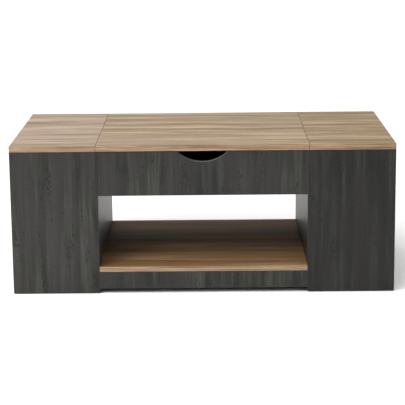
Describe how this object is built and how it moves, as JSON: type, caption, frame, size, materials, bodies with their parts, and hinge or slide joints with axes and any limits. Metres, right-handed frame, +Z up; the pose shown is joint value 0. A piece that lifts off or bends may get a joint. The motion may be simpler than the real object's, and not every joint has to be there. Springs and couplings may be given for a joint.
{
  "type": "lift top coffee table",
  "caption": "Rectangular coffee table on two closed pedestals, with an open shelf and a middle top that lifts forward over a hidden compartment.",
  "frame": {"origin": "on the floor under the middle of the closed table", "axes": "+X along the length to the right seen from the front, -Y to the front, +Z up"},
  "size_m": [1.2, 0.6, 0.475],
  "materials": {
    "charcoal_laminate": "matt charcoal woodgrain melamine, vertical grain",
    "oak_laminate": "matt light oak melamine, grain along the length",
    "black_steel": "satin black powder coat",
    "zinc_steel": "zinc plated",
    "spring_steel": "drawn wire, nickel plated",
    "beech": "raw fluted beech",
    "black_plastic": "moulded, fine texture",
    "clear_rubber": "soft translucent pads"
  },
  "bodies": {
    "case": {"left_front_panel": "charcoal_laminate", "left_back_panel": "charcoal_laminate", "left_outer_side": "charcoal_laminate", "left_inner_side": "charcoal_laminate", "left_pedestal_bottom": "charcoal_laminate", "left_side_top": "oak_laminate", "left_base_plate": "black_steel", "right_front_panel": "charcoal_laminate", "right_back_panel": "charcoal_laminate", "right_outer_side": "charcoal_laminate", "right_inner_side": "charcoal_laminate", "right_pedestal_bottom": "charcoal_laminate", "right_side_top": "oak_laminate", "right_base_plate": "black_steel", "front_apron": "charcoal_laminate", "back_apron": "charcoal_laminate", "compartment_floor": "charcoal_laminate", "lower_shelf": "oak_laminate", "front_toe_board": "charcoal_laminate", "back_toe_board": "charcoal_laminate", "cam_locks": "zinc_steel", "cam_bolts": "zinc_steel", "dowels": "beech", "foot_glides": "black_plastic", "lid_bumpers": "clear_rubber", "base_pivot_pins": "zinc_steel", "stop_pins": "zinc_steel", "spring_anchor_pins": "zinc_steel", "base_plate_screws": "zinc_steel"},
    "front_arms": {"left_front_arm": "black_steel", "right_front_arm": "black_steel", "cross_bar": "black_steel", "arm_tail_pins": "zinc_steel"},
    "left_rear_arm": {"left_rear_arm": "black_steel"},
    "right_rear_arm": {"right_rear_arm": "black_steel"},
    "lift_top": {"lift_top_board": "oak_laminate", "left_top_bracket": "black_steel", "right_top_bracket": "black_steel", "upper_pivot_pins": "zinc_steel", "bracket_screws": "zinc_steel"},
    "left_spring": {"left_spring": "spring_steel"},
    "right_spring": {"right_spring": "spring_steel"}
  },
  "joints": [
    {"name": "arm_swing", "type": "hinge", "parent": "case", "child": "front_arms", "pos_m": [0, -0.18, 0.38], "axis": [1, 0, 0], "range_deg": [0, 110]},
    {"name": "left_rear_arm_swing", "type": "hinge", "parent": "case", "child": "left_rear_arm", "pos_m": [-0.3225, -0.06, 0.38], "axis": [1, 0, 0], "range_deg": [0, 110]},
    {"name": "right_rear_arm_swing", "type": "hinge", "parent": "case", "child": "right_rear_arm", "pos_m": [0.3225, -0.06, 0.38], "axis": [1, 0, 0], "range_deg": [0, 110]},
    {"name": "lift_top_level", "type": "hinge", "parent": "front_arms", "child": "lift_top", "pos_m": [0, 0.04651, 0.41994], "axis": [1, 0, 0], "range_deg": [-110, 0]},
    {"name": "left_spring_swing", "type": "hinge", "parent": "case", "child": "left_spring", "pos_m": [-0.306, 0.02, 0.37], "axis": [1, 0, 0], "range_deg": [0, 4.79], "deforming": ["left_spring"]},
    {"name": "right_spring_swing", "type": "hinge", "parent": "case", "child": "right_spring", "pos_m": [0.306, 0.02, 0.37], "axis": [1, 0, 0], "range_deg": [0, 4.79], "deforming": ["right_spring"]}
  ],
  "couplings": [
    {"joint": "left_rear_arm_swing", "follows": "arm_swing", "ratio": 1},
    {"joint": "right_rear_arm_swing", "follows": "arm_swing", "ratio": 1},
    {"joint": "lift_top_level", "follows": "arm_swing", "ratio": -1},
    {"joint": "left_spring_swing", "follows": "arm_swing", "ratio": 0.043428},
    {"joint": "right_spring_swing", "follows": "arm_swing", "ratio": 0.043428}
  ]
}
